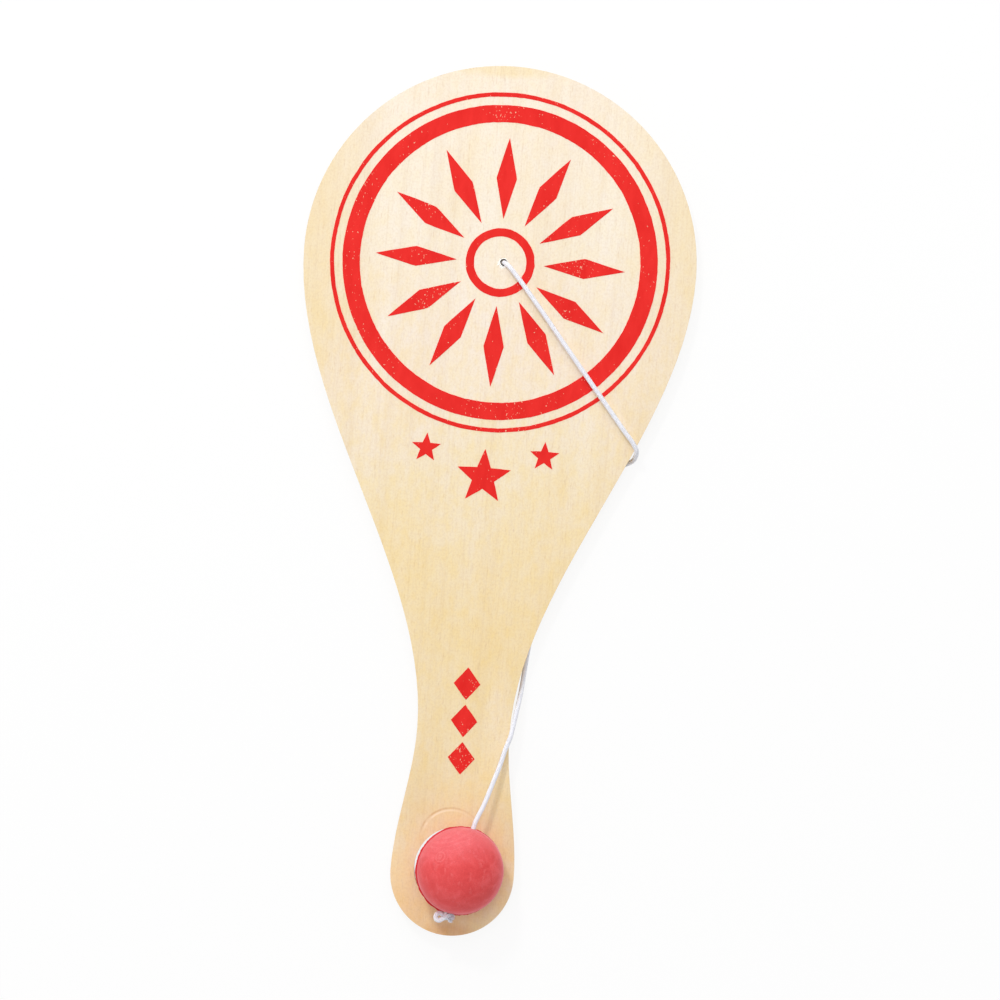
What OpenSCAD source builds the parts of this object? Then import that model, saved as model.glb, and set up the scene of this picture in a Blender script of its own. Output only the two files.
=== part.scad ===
/* [Paddle] */
// Length of the paddle, from the handle's end to the blade's top
paddle_l = 279.4; // [240:0.1:330]
// Width of the blade
blade_w = 126; // [105:0.1:150]
// Width of the neck where it is narrowest
neck_w = 29.6; // [25:0.1:37]
// Width of the handle's round end
handle_w = 39.6; // [33:0.1:48]
// Distance from the handle's end to the narrowest part of the neck
neck_from_end = 65.8; // [54:0.1:79]
// Thickness of the front veneer
front_ply_t = 1.2; // [0.9:0.05:1.6]
// Thickness of the middle ply
core_ply_t = 1.6; // [1.1:0.05:2.3]
// Thickness of the back veneer
back_ply_t = 1.2; // [0.9:0.05:1.6]

/* [Holes] */
// Diameter of the cord's hole in the middle of the blade
cord_hole_d = 2.6; // [2.2:0.1:3.6]
// How far the cord's hole was drilled off the centre line
cord_hole_x = 1.1; // [-2:0.1:2]
// Diameter of the handle hole, where the ball is kept
handle_hole_d = 26.6; // [22:0.1:32]
// Distance from the handle's end to the middle of the handle hole
handle_hole_from_end = 21.8; // [18:0.1:26]
// How far the handle hole was drilled off the centre line
handle_hole_x = 0.8; // [-2:0.1:2]
// Diameter of the shallow round tool mark that the handle hole cuts
mark_d = 20.4; // [16:0.1:25]
// Depth of the tool mark
mark_depth = 0.25; // [0.1:0.05:0.5]
// Distance from the middle of the handle hole up to the middle of the mark
mark_up = 8.9; // [7:0.1:12]
// How far the mark lies off the centre line
mark_x = -1.2; // [-2:0.1:2]

/* [Ball] */
// Diameter of the rubber ball
ball_d = 27.8; // [23:0.1:33]
// Gap between the ball and the rim that it leans on
rim_gap = 0.2; // [0.15:0.05:0.6]
// Direction in which the ball leans, from +X towards +Y
lean_angle = 10; // [-30:1:60]
// Turn of the ball's bore, from +Y towards +X
bore_turn = 13; // [0:0.1:25]
// Dip of the bore's end where the cord goes in
bore_dip = 3; // [-10:0.5:10]
// Running clearance of the cord in the bore, on the radius
bore_clearance = 0.05; // [0.02:0.01:0.1]

/* [Cord] */
// Diameter of the elastic cord
cord_d = 1.5; // [1:0.1:1.8]
// Width of the knot behind the blade
blade_knot_w = 5; // [4:0.1:7]
// Height of the knot behind the blade, which the paddle lies on
blade_knot_h = 1.9; // [1.6:0.1:2.6]
// Length of the blade knot's loose tail
blade_tail_l = 7; // [4:0.5:12]
// Turn of the blade knot's tail, from +X towards +Y
blade_tail_turn = 152; // [0:1:359]
// Diameter of the knot that holds the ball
ball_knot_d = 3.2; // [2.6:0.1:4]
// Gap between the ball and its knot
knot_gap = 0.1; // [0.05:0.05:0.3]
// Inner radius of the ball knot's bow
bow_r = 0.6; // [0.4:0.1:1]
// Length of the ball knot's cut ends
ball_tail_l = 2.8; // [1.5:0.1:4]
// Angle between the cut ends and the bore
ball_tail_turn = 74; // [60:1:85]

/* [Print] */
// Thickness of the ink film
ink_t = 0.1; // [0.05:0.01:0.2]
// Outer radius of the thin outer ring
outer_ring_r = 54.5; // [45:0.1:58]
// Width of the thin outer ring
outer_ring_w = 1.3; // [0.8:0.1:2]
// Outer radius of the broad ring
broad_ring_r = 50.5; // [42:0.1:52]
// Width of the broad ring
broad_ring_w = 5.5; // [3:0.1:8]
// Outer radius of the ring round the cord's hole
middle_ring_r = 11; // [8:0.1:14]
// Width of the ring round the cord's hole
middle_ring_w = 2.6; // [1.5:0.1:4]
// Radius of the circle on which the rays' middles lie
ray_ring_r = 27; // [22:0.1:32]
// Length of a ray
ray_l = 26; // [20:0.1:30]
// Width of a ray at its broadest
ray_w = 6.4; // [4:0.1:9]
// Number of rays
ray_count = 12; // [6:1:16]
// Radius of the large star below the rings
big_star_r = 9; // [6:0.1:12]
// Radius of the two small stars
small_star_r = 4.8; // [3:0.1:6]
// Distance from the middle of the blade down to the large star
big_star_down = 69; // [60:0.1:78]
// Distance from the middle of the blade down to the small stars
small_star_down = 61; // [54:0.1:70]
// Distance from the centre line out to a small star
small_star_out = 19; // [14:0.1:24]
// Width of a diamond on the handle
diamond_w = 8.6; // [6:0.1:11]
// Height of a diamond on the handle
diamond_h = 10.4; // [7:0.1:14]
// Distance between the middles of neighbouring diamonds
diamond_pitch = 12; // [11:0.1:16]
// Distance from the handle's end to the middle diamond
diamonds_from_end = 69; // [60:0.1:76]
// Number of diamonds
diamond_count = 3; // [1:1:4]

/* [Hidden] */

// smoothness of round shapes and of the outline
round_fn = 96;
small_fn = 32;
blade_steps = 30;
flank_steps = 28;
grip_steps = 14;
end_steps = 24;
// how far a cut runs past the surface that it opens
overrun = 1;
star_points = 5;
star_waist_share = 0.42;

// the knot behind the blade holds the paddle up off the surface
back_z = blade_knot_h;
core_z = back_z + back_ply_t;
front_z = core_z + core_ply_t;
top_z = front_z + front_ply_t;

blade_r = blade_w / 2;
handle_r = handle_w / 2;
end_y = -paddle_l / 2;
blade_y = paddle_l / 2 - blade_r;
neck_y = end_y + neck_from_end;
bulb_y = end_y + handle_r;

handle_hole_r = handle_hole_d / 2;
handle_hole_y = end_y + handle_hole_from_end;
mark_y = handle_hole_y + mark_up;

// the ball stands on the surface, or on the rim where the hole is too small to let it down
ball_r = ball_d / 2;
rim_reach = handle_hole_r - rim_gap;
ball_z = max(ball_r, top_z + sqrt(ball_r * ball_r - rim_reach * rim_reach));
slice_r = sqrt(ball_r * ball_r - (ball_z - top_z) * (ball_z - top_z));
lean = rim_reach - slice_r;
ball_middle = [
    handle_hole_x + lean * cos(lean_angle),
    handle_hole_y + lean * sin(lean_angle),
    ball_z
];
bore_way = [
    sin(bore_turn) * cos(bore_dip),
    cos(bore_turn) * cos(bore_dip),
    -sin(bore_dip)
];
cord_r = cord_d / 2;
bore_mouth = ball_middle + bore_way * ball_r;
knot_seat = ball_r + knot_gap;
bow_ring_r = bow_r + cord_r;
// the bow's tube crosses the knot's skin, and the cut ends start inside the knot
bow_side = -ball_knot_d * 0.6;
bow_drop = knot_seat + bow_ring_r + cord_r;
tail_seat = knot_seat + ball_knot_d / 2;

// The cord's route, chosen by hand: up through the blade, across its front in a low arch,
// round its edge, along its back, up beside the neck and over the handle to the ball.
cord_way = [
    [1, 76.8, 1.9],
    [1, 76.9, 3.4],
    [1, 76.9, 4.3],
    [1.2, 76.8, 5.2],
    [2.2, 76.2, 6.9],
    [2.7, 75.8, 7.3],
    [5.5, 72.8, 8],
    [12.9, 64, 8.5],
    [24.1, 50.1, 8.9],
    [35, 36.7, 8.5],
    [40.2, 30.3, 8.3],
    [44.1, 25.5, 8.3],
    [46.5, 22.7, 7.8],
    [48.1, 20.3, 6.9],
    [48.1, 17.7, 4],
    [47.2, 16.4, 1.9],
    [45.8, 15.6, 1],
    [43.6, 14.5, 0.9],
    [38.2, 10.1, 0.8],
    [31.2, 2.2, 0.8],
    [25.6, -7, 0.8],
    [22, -18, 0.8],
    [20, -30, 0.8],
    [19.4, -40.1, 0.9],
    [18.4, -49.7, 1],
    [18, -54.6, 1.7],
    [17.4, -60.9, 3.4],
    [16.8, -64.9, 4.8],
    [15.8, -71.1, 6.4],
    [15.2, -74.5, 7.2],
    [13.9, -78.5, 8.1],
    [12.8, -82.9, 8.9],
    [10.9, -88.9, 10.3],
    [8.4, -96.5, 11.9]
];
// the cord lies over the handle's edge at this point of its route
edge_point = 28;
// the last stretch runs straight into the ball for about a cord's width
mouth_run = 1.5;
cord_route = concat(cord_way, [bore_mouth + bore_way * mouth_run, bore_mouth]);
route_end = len(cord_route) - 1;
cord_sides = 8;
ring_gap = 3.4;
// the cord never runs along X, so each ring is squared up against X
ring_side = [1, 0, 0];

// A share that starts and ends level, for the curves into and out of the neck.
function ease(t) = t * t * (3 - 2 * t);

// Points down the right side of the paddle, from the blade's top to the handle's end.
right_side = concat(
    [for (i = [0 : blade_steps])
        let (a = 90 * (1 - i / blade_steps))
        [blade_r * cos(a), blade_y + blade_r * sin(a)]],
    [for (i = [1 : flank_steps])
        let (t = 1 - i / flank_steps)
        [(neck_w + (blade_w - neck_w) * ease(t)) / 2, neck_y + (blade_y - neck_y) * t]],
    [for (i = [1 : grip_steps])
        let (t = i / grip_steps)
        [(neck_w + (handle_w - neck_w) * ease(t)) / 2, neck_y + (bulb_y - neck_y) * t]],
    [for (i = [1 : end_steps])
        let (a = -90 * i / end_steps)
        [handle_r * cos(a), bulb_y + handle_r * sin(a)]]
);
left_side = [for (i = [len(right_side) - 2 : -1 : 1]) [-right_side[i].x, right_side[i].y]];

function unit(v) = v / norm(v);
// A point of the route, also one step past either end, where the route runs on straight.
function route_point(i) =
    i < 0 ? 2 * cord_route[0] - cord_route[1] :
    i > route_end ? 2 * cord_route[route_end] - cord_route[route_end - 1] :
    cord_route[i];
function span(i) = norm(route_point(i + 1) - route_point(i));
// The route's direction at a point, the nearer neighbour counting for more.
function route_slope(i) =
    let (back = span(i - 1), on = span(i))
    ((route_point(i) - route_point(i - 1)) * on / back
        + (route_point(i + 1) - route_point(i)) * back / on) / (back + on);
// A smooth curve through the route's points, at share t of the span after point i.
function route_curve(i, t) =
    let (u = 1 - t, d = span(i))
    route_point(i) * (1 + 2 * t) * u * u
        + route_slope(i) * d * t * u * u
        + route_point(i + 1) * t * t * (3 - 2 * t)
        - route_slope(i + 1) * d * t * t * u;
function route_heading(i, t) =
    let (u = 1 - t, d = span(i))
    unit((route_point(i + 1) - route_point(i)) * 6 * t * u
        + route_slope(i) * d * u * (1 - 3 * t)
        + route_slope(i + 1) * d * t * (3 * t - 2));
function cord_ring(i, t) =
    let (
        middle = route_curve(i, t),
        heading = route_heading(i, t),
        side = unit(ring_side - heading * (ring_side * heading)),
        other = cross(heading, side)
    )
    [for (k = [0 : cord_sides - 1])
        let (a = 360 * k / cord_sides)
        middle + (side * cos(a) + other * sin(a)) * cord_r];
function cord_rings(first, last) = concat(
    [for (i = [first : last - 1])
        let (steps = max(1, round(span(i) / ring_gap)))
        for (k = [0 : steps - 1]) cord_ring(i, k / steps)],
    [cord_ring(last - 1, 1)]
);

// One closed tube along the route, from one of its points to another.
module cord_tube(first, last) {
    rings = cord_rings(first, last);
    top = len(rings) - 1;
    n = cord_sides;
    polyhedron(
        points = [for (ring = rings) for (p = ring) p],
        faces = concat(
            [for (k = [1 : n - 2]) [0, k, k + 1]],
            [for (k = [1 : n - 2]) [top * n, top * n + k + 1, top * n + k]],
            [for (r = [0 : top - 1])
                for (k = [0 : n - 1])
                    let (next = (k + 1) % n)
                    for (f = [
                        [r * n + k, (r + 1) * n + k, (r + 1) * n + next],
                        [r * n + k, (r + 1) * n + next, r * n + next]
                    ]) f]
        )
    );
}

// One layer of the paddle, with both holes drilled through it.
module ply(z, thickness) {
    difference() {
        translate([0, 0, z])
            linear_extrude(thickness)
                polygon(concat(right_side, left_side));
        translate([cord_hole_x, blade_y, z - overrun])
            cylinder(d = cord_hole_d, h = thickness + 2 * overrun, $fn = small_fn);
        translate([handle_hole_x, handle_hole_y, z - overrun])
            cylinder(d = handle_hole_d, h = thickness + 2 * overrun, $fn = round_fn);
    }
}

module front_ply() {
    color([0.97, 0.89, 0.75])
        difference() {
            ply(front_z, front_ply_t);
            translate([mark_x, mark_y, top_z - mark_depth])
                cylinder(d = mark_d, h = mark_depth + overrun, $fn = round_fn);
        }
}

module core_ply() {
    color([0.88, 0.74, 0.54])
        ply(core_z, core_ply_t);
}

module back_ply() {
    color([0.95, 0.86, 0.7])
        ply(back_z, back_ply_t);
}

// A flat ring on the blade's face, round the cord's hole.
module ink_ring(outer_r, width) {
    translate([0, blade_y, top_z])
        difference() {
            cylinder(r = outer_r, h = ink_t, $fn = round_fn);
            translate([0, 0, -overrun])
                cylinder(r = outer_r - width, h = ink_t + 2 * overrun, $fn = round_fn);
        }
}

module star(r) {
    linear_extrude(ink_t)
        polygon([for (k = [0 : 2 * star_points - 1])
            let (a = 90 + 180 * k / star_points, reach = k % 2 == 0 ? r : r * star_waist_share)
            [reach * cos(a), reach * sin(a)]]);
}

module diamond(width, height) {
    linear_extrude(ink_t)
        polygon([[0, height / 2], [-width / 2, 0], [0, -height / 2], [width / 2, 0]]);
}

// Rings and rays round the cord's hole, with three stars below them.
module blade_print() {
    color([0.9, 0.16, 0.17]) {
        ink_ring(outer_ring_r, outer_ring_w);
        ink_ring(broad_ring_r, broad_ring_w);
        ink_ring(middle_ring_r, middle_ring_w);
        for (k = [0 : ray_count - 1])
            translate([0, blade_y, top_z])
                rotate([0, 0, 360 * k / ray_count])
                    translate([0, ray_ring_r, 0])
                        diamond(ray_w, ray_l);
        translate([0, blade_y - big_star_down, top_z])
            star(big_star_r);
        for (side = [-1, 1])
            translate([side * small_star_out, blade_y - small_star_down, top_z])
                star(small_star_r);
    }
}

module handle_print() {
    color([0.9, 0.16, 0.17])
        for (k = [0 : diamond_count - 1])
            translate([0, end_y + diamonds_from_end + (k - (diamond_count - 1) / 2) * diamond_pitch, top_z])
                diamond(diamond_w, diamond_h);
}

// A round pad with a full round edge, which stands for a pulled knot.
module knot_pad(width, height) {
    edge_r = height / 2;
    rotate_extrude($fn = small_fn) {
        translate([width / 2 - edge_r, edge_r])
            circle(r = edge_r, $fn = small_fn);
        square([width / 2 - edge_r, height]);
    }
}

module blade_knot() {
    color([0.96, 0.96, 0.97])
        translate([cord_hole_x, blade_y, 0]) {
            knot_pad(blade_knot_w, blade_knot_h);
            rotate([0, 0, blade_tail_turn])
                translate([0, 0, blade_knot_h / 2])
                    rotate([0, 90, 0])
                        cylinder(d = cord_d, h = blade_knot_w / 2 + blade_tail_l, $fn = small_fn);
        }
}

module cord_round_blade() {
    color([0.97, 0.97, 0.98])
        cord_tube(0, edge_point);
}

module cord_to_ball() {
    color([0.97, 0.97, 0.98])
        cord_tube(edge_point, route_end);
}

// Sets its children on the bore's axis, with +Z towards the cord and the ball's middle at 0.
module along_bore() {
    translate(ball_middle)
        rotate([0, 0, -bore_turn])
            rotate([-90 - bore_dip, 0, 0])
                children();
}

module cord_in_ball() {
    color([0.97, 0.97, 0.98])
        along_bore()
            translate([0, 0, -knot_seat])
                cylinder(d = cord_d, h = knot_seat + ball_r, $fn = small_fn);
}

// The knot that keeps the ball on the cord, with its bow on one side and its ends on the other.
module ball_knot() {
    color([0.96, 0.96, 0.97])
        along_bore() {
            difference() {
                translate([0, 0, -tail_seat])
                    sphere(d = ball_knot_d, $fn = small_fn);
                translate([-ball_knot_d / 2, -ball_knot_d / 2, -knot_seat])
                    cube([ball_knot_d, ball_knot_d, ball_knot_d]);
            }
            translate([bow_side, 0, -bow_drop])
                rotate([90, 0, 0])
                    rotate_extrude($fn = small_fn)
                        translate([bow_ring_r, 0])
                            circle(r = cord_r, $fn = small_fn);
            translate([0, 0, -tail_seat])
                rotate([0, ball_tail_turn, 0])
                    cylinder(d = cord_d, h = ball_tail_l, $fn = small_fn);
        }
}

module ball() {
    color([0.88, 0.36, 0.38])
        along_bore()
            difference() {
                sphere(d = ball_d, $fn = round_fn);
                translate([0, 0, -ball_r - overrun])
                    cylinder(r = cord_r + bore_clearance, h = ball_d + 2 * overrun, $fn = small_fn);
            }
}

front_ply();
core_ply();
back_ply();
blade_print();
handle_print();
blade_knot();
cord_round_blade();
cord_to_ball();
cord_in_ball();
ball_knot();
ball();
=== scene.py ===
import math
import random

import bmesh
import bpy
from mathutils import Matrix, Vector, noise


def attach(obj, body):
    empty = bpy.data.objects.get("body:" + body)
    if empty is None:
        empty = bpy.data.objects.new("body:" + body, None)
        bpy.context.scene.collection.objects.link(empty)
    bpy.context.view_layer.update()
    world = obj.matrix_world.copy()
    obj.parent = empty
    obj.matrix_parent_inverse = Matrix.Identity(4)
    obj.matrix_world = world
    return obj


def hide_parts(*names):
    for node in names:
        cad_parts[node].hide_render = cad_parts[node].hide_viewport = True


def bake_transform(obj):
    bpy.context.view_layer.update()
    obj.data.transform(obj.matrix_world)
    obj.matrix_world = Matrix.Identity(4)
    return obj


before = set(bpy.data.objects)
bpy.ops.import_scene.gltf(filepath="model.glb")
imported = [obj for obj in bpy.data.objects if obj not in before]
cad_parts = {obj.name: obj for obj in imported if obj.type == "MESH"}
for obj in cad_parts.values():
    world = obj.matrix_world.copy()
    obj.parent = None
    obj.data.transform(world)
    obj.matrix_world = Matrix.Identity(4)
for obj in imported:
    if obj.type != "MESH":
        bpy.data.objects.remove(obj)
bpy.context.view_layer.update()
scene = bpy.context.scene
scene.view_settings.view_transform = "Standard"
mm = 0.001

# camera: straight above the printed face, turned so that the blade leans to the right

cameraSettings = {
    "overX": 5.924 * mm,  # the point of the face in the middle of the picture
    "overY": 0.8025 * mm,
    "faceZ": 5.9 * mm,
    "distance": 0.95,
    "pictureWidth": 320.5 * mm,  # what the picture takes in at the face
    "roll": 4.497,
    "sensor": 36.0,
    "clipStart": 0.05,
}


def placeCamera(s):
    lens = bpy.data.cameras.new("camera")
    lens.sensor_width = s["sensor"]
    lens.lens = s["sensor"] * s["distance"] / s["pictureWidth"]
    lens.clip_start = s["clipStart"]
    camera = bpy.data.objects.new("camera", lens)
    camera.location = (s["overX"], s["overY"], s["faceZ"] + s["distance"])
    camera.rotation_euler = (0, 0, math.radians(s["roll"]))
    scene.collection.objects.link(camera)
    scene.camera = camera


placeCamera(cameraSettings)
print("camera placed")

# small helpers for node trees


def tone(red, green, blue):
    # screen values from 0 to 255, made linear for the shader
    def straight(value):
        value = value / 255
        return value / 12.92 if value <= 0.04045 else ((value + 0.055) / 1.055) ** 2.4

    return (straight(red), straight(green), straight(blue), 1.0)


def addNode(tree, kind, links=None, values=None, **settings):
    made = tree.nodes.new("ShaderNode" + kind)
    for name, value in settings.items():
        setattr(made, name, value)
    for name, value in (values or {}).items():
        made.inputs[name].default_value = value
    for name, socket in (links or {}).items():
        tree.links.new(socket, made.inputs[name])
    return made


def figure(tree, operation, *given):
    made = tree.nodes.new("ShaderNodeMath")
    made.operation = operation
    for index, value in enumerate(given):
        if isinstance(value, bpy.types.NodeSocket):
            tree.links.new(value, made.inputs[index])
        else:
            made.inputs[index].default_value = value
    return made.outputs[0]


def stretch(tree, value, fromLow, fromHigh, toLow, toHigh):
    made = addNode(
        tree,
        "MapRange",
        {"Value": value},
        {"From Min": fromLow, "From Max": fromHigh, "To Min": toLow, "To Max": toHigh},
    )
    return made.outputs["Result"]


def fibre(tree, place, scale, detail=2.0, roughness=0.5, distortion=0.0):
    # noise drawn out along an axis by its three scales, in cycles per metre
    mapping = addNode(tree, "Mapping", {"Vector": place}, {"Scale": scale})
    made = addNode(
        tree,
        "TexNoise",
        {"Vector": mapping.outputs["Vector"]},
        {"Scale": 1.0, "Detail": detail, "Roughness": roughness, "Distortion": distortion},
    )
    return made.outputs["Fac"]


def ramp(tree, value, stops):
    made = tree.nodes.new("ShaderNodeValToRGB")
    marks = made.color_ramp.elements
    while len(marks) < len(stops):
        marks.new(0.5)
    for mark, (position, colour) in zip(marks, stops):
        mark.position = position
        mark.color = colour
    tree.links.new(value, made.inputs["Fac"])
    return made.outputs["Color"]


def layer(tree, share, under, over, mode="MIX"):
    made = tree.nodes.new("ShaderNodeMix")
    made.data_type = "RGBA"
    made.blend_type = mode
    for index, value in ((0, share), (6, under), (7, over)):
        if isinstance(value, bpy.types.NodeSocket):
            tree.links.new(value, made.inputs[index])
        else:
            made.inputs[index].default_value = value
    return made.outputs[2]


def startMaterial(name, constants):
    material = bpy.data.materials.new(name)
    material.use_nodes = True
    tree = material.node_tree
    tree.nodes.clear()
    shader = addNode(tree, "BsdfPrincipled", values=constants)
    output = tree.nodes.new("ShaderNodeOutputMaterial")
    tree.links.new(shader.outputs["BSDF"], output.inputs["Surface"])
    return material, tree, shader


def relief(tree, shader, height, depth):
    bump = addNode(tree, "Bump", {"Height": height}, {"Strength": 1.0, "Distance": depth})
    tree.links.new(bump.outputs["Normal"], shader.inputs["Normal"])


def addPiece(name, bm, materials, sharpOver=40):
    mesh = bpy.data.meshes.new(name)
    bm.to_mesh(mesh)
    bm.free()
    for material in materials:
        mesh.materials.append(material)
    mesh.shade_smooth()
    mesh.set_sharp_from_angle(angle=math.radians(sharpOver))
    piece = bpy.data.objects.new(name, mesh)
    scene.collection.objects.link(piece)
    return piece


# elastic cord: white braid, from the knot under the blade to the knot behind the ball

cordSettings = {
    "radius": 0.75 * mm,
    "sides": 18,
    "step": 0.3 * mm,
    "strands": 8,  # carriers each way round
    "braidPitch": 4.2 * mm,  # one turn of a strand
    "braidDepth": 0.035 * mm,
    # painted shade: the grooves between the braid's strands, darker and bluish
    "grooveShade": tone(214, 216, 238),
    "crowns": tone(247, 248, 255),
    "worn": tone(238, 237, 242),
    "wornPatches": (300, 300, 300),
    "wornShare": 0.25,
    "length": 0.25,
    "exit": (1.1 * mm, 76.7 * mm, 5.9 * mm),
    "leavesPaddle": (15.8 * mm, -71.1 * mm, 6.4 * mm),
    "boreMouth": (5.629 * mm, -104.074 * mm, 13.173 * mm),
    "boreWay": (0.224643, 0.973035, -0.052336),
    "ballMiddle": (2.507 * mm, -117.599 * mm, 13.9 * mm),
    "mouthRun": 1.5,  # millimetres that the cord runs straight into the ball
    "knotDistance": 15.0 * mm,
    "route": [
        (1, 76.8, 1.9), (1, 76.9, 3.4), (1, 76.9, 4.3), (1.2, 76.8, 5.2),
        (2.2, 76.2, 6.9), (2.7, 75.8, 7.3), (5.5, 72.8, 8), (12.9, 64, 8.5),
        (24.1, 50.1, 8.9), (35, 36.7, 8.5), (40.2, 30.3, 8.3), (44.1, 25.5, 8.3),
        (46.5, 22.7, 7.8), (48.1, 20.3, 6.9), (48.1, 17.7, 4), (47.2, 16.4, 1.9),
        (45.8, 15.6, 1), (43.6, 14.5, 0.9), (38.2, 10.1, 0.8), (31.2, 2.2, 0.8),
        (25.6, -7, 0.8), (22, -18, 0.8), (20, -30, 0.8), (19.4, -40.1, 0.9),
        (18.4, -49.7, 1), (18, -54.6, 1.7), (17.4, -60.9, 3.4), (16.8, -64.9, 4.8),
        (15.8, -71.1, 6.4), (15.2, -74.5, 7.2), (13.9, -78.5, 8.1), (12.8, -82.9, 8.9),
        (10.9, -88.9, 10.3), (8.4, -96.5, 11.9),
    ],  # millimetres, the same points as the solid's
}


def makeBraid(name, s):
    material, tree, shader = startMaterial(
        name, {"Roughness": 0.72, "Specular IOR Level": 0.3, "Sheen Weight": 0.15}
    )
    around = addNode(tree, "UVMap", uv_map="wrap").outputs["UV"]
    split = addNode(tree, "SeparateXYZ", {"Vector": around})
    turn = figure(tree, "MULTIPLY", split.outputs["X"], s["strands"])
    rise = figure(tree, "MULTIPLY", split.outputs["Y"], s["strands"] / s["braidPitch"])
    rounded = []
    counted = []
    for way in ("ADD", "SUBTRACT"):
        helix = figure(tree, way, turn, rise)
        part = figure(tree, "FRACT", helix)
        fromMiddle = figure(tree, "ABSOLUTE", figure(tree, "SUBTRACT", part, 0.5))
        fallen = figure(tree, "POWER", figure(tree, "MULTIPLY", fromMiddle, 2.0), 3.0)
        rounded.append(figure(tree, "SUBTRACT", 1.0, fallen))
        counted.append(figure(tree, "FLOOR", helix))
    over = figure(tree, "MODULO", figure(tree, "ABSOLUTE", figure(tree, "ADD", *counted)), 2.0)
    under = figure(tree, "SUBTRACT", 1.0, over)
    weave = figure(
        tree,
        "ADD",
        figure(tree, "MULTIPLY", rounded[0], over),
        figure(tree, "MULTIPLY", rounded[1], under),
    )
    # the weave's grooves carry painted shade, its crowns the white of the braid
    colour = ramp(tree, weave, [(0.0, s["grooveShade"]), (0.55, s["crowns"])])
    place = addNode(tree, "TexCoord").outputs["Object"]
    worn = fibre(tree, place, s["wornPatches"], 3)
    colour = layer(tree, stretch(tree, worn, 0.5, 0.75, 0.0, s["wornShare"]), colour, s["worn"])
    tree.links.new(colour, shader.inputs["Base Color"])
    relief(tree, shader, weave, s["braidDepth"])
    return material


def smoothRoute(points, step):
    # cubic pieces through the points, the same curve as the solid follows
    points = [Vector(point) for point in points]
    ahead = points[-1] * 2 - points[-2]
    behind = points[0] * 2 - points[1]
    wide = [behind] + points + [ahead]
    slopes = []
    for index in range(1, len(wide) - 1):
        back = (wide[index] - wide[index - 1]).length
        on = (wide[index + 1] - wide[index]).length
        toHere = (wide[index] - wide[index - 1]) * (on / back)
        fromHere = (wide[index + 1] - wide[index]) * (back / on)
        slopes.append((toHere + fromHere) / (back + on))
    line = [points[0]]
    for index in range(len(points) - 1):
        start, end = points[index], points[index + 1]
        span = (end - start).length
        count = max(1, round(span / step))
        for part in range(1, count + 1):
            t = part / count
            line.append(
                start * (2 * t**3 - 3 * t**2 + 1)
                + slopes[index] * span * (t**3 - 2 * t**2 + t)
                + end * (3 * t**2 - 2 * t**3)
                + slopes[index + 1] * span * (t**3 - t**2)
            )
    return line


def sweepTube(bm, line, radii, sides, wrap=None):
    # a ring is pushed along the line, kept square to it
    radii = radii if hasattr(radii, "__len__") else [radii] * len(line)
    frames = []
    side = None
    for index, point in enumerate(line):
        way = (line[min(index + 1, len(line) - 1)] - line[max(index - 1, 0)]).normalized()
        if side is None:
            side = way.orthogonal()
        side = (side - way * side.dot(way)).normalized()
        up = way.cross(side)
        turned = Matrix((side, up, way)).transposed().to_4x4()
        frames.append(Matrix.Translation(point) @ turned @ Matrix.Diagonal((radii[index],) * 3).to_4x4())
    made = bmesh.ops.create_circle(bm, cap_ends=False, segments=sides, radius=1.0, matrix=frames[0])
    ring = list(made["verts"])
    edges = list(dict.fromkeys(edge for vert in ring for edge in vert.link_edges))
    firstEdges = edges
    station = {vert: 0 for vert in ring}
    faces = []
    for index in range(1, len(line)):
        pushed = bmesh.ops.extrude_edge_only(bm, edges=edges)["geom"]
        ring = [item for item in pushed if isinstance(item, bmesh.types.BMVert)]
        fresh = set(ring)
        edges = [
            item
            for item in pushed
            if isinstance(item, bmesh.types.BMEdge) and set(item.verts) <= fresh
        ]
        faces += [item for item in pushed if isinstance(item, bmesh.types.BMFace)]
        bmesh.ops.transform(bm, matrix=frames[index] @ frames[index - 1].inverted(), verts=ring)
        for vert in ring:
            station[vert] = index
    if wrap:
        run = [0.0]
        for index in range(1, len(line)):
            run.append(run[-1] + (line[index] - line[index - 1]).length)
        for face in faces:
            found = []
            for loop in face.loops:
                index = station[loop.vert]
                local = frames[index].inverted() @ loop.vert.co
                found.append([math.atan2(local.y, local.x) / math.tau, run[index]])
            widest = max(pair[0] for pair in found)
            for pair, loop in zip(found, face.loops):
                pair[0] += 1.0 if widest - pair[0] > 0.5 else 0.0
                loop[wrap].uv = pair
    bmesh.ops.holes_fill(bm, edges=firstEdges + edges)
    bmesh.ops.recalc_face_normals(bm, faces=bm.faces)


def onBore(s, distance):
    # a point on the ball's bore, measured from the ball's middle towards its mouth
    return Vector(s["ballMiddle"]) + Vector(s["boreWay"]) * distance


def makeCord(s, material):
    route = [Vector(point) * mm for point in s["route"]]
    mouth = Vector(s["boreMouth"])
    route += [mouth + Vector(s["boreWay"]) * s["mouthRun"] * mm, mouth]
    line = smoothRoute(route, s["step"])
    inside = mouth - onBore(s, -s["knotDistance"])
    count = round(inside.length / s["step"])
    line += [mouth - inside * (part / count) for part in range(1, count + 1)]
    bm = bmesh.new()
    wrap = bm.loops.layers.uv.new("wrap")
    sweepTube(bm, line, s["radius"], s["sides"], wrap)
    cord = addPiece("elasticCord", bm, [material])
    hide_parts("cord_round_blade", "cord_to_ball", "cord_in_ball")
    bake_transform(cord)
    return cord, line


braid = makeBraid("whiteBraid", cordSettings)
cord, cordLine = makeCord(cordSettings, braid)
print("cord laid")

# knot under the blade: an overhand knot pulled flat, with a short tail

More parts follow.
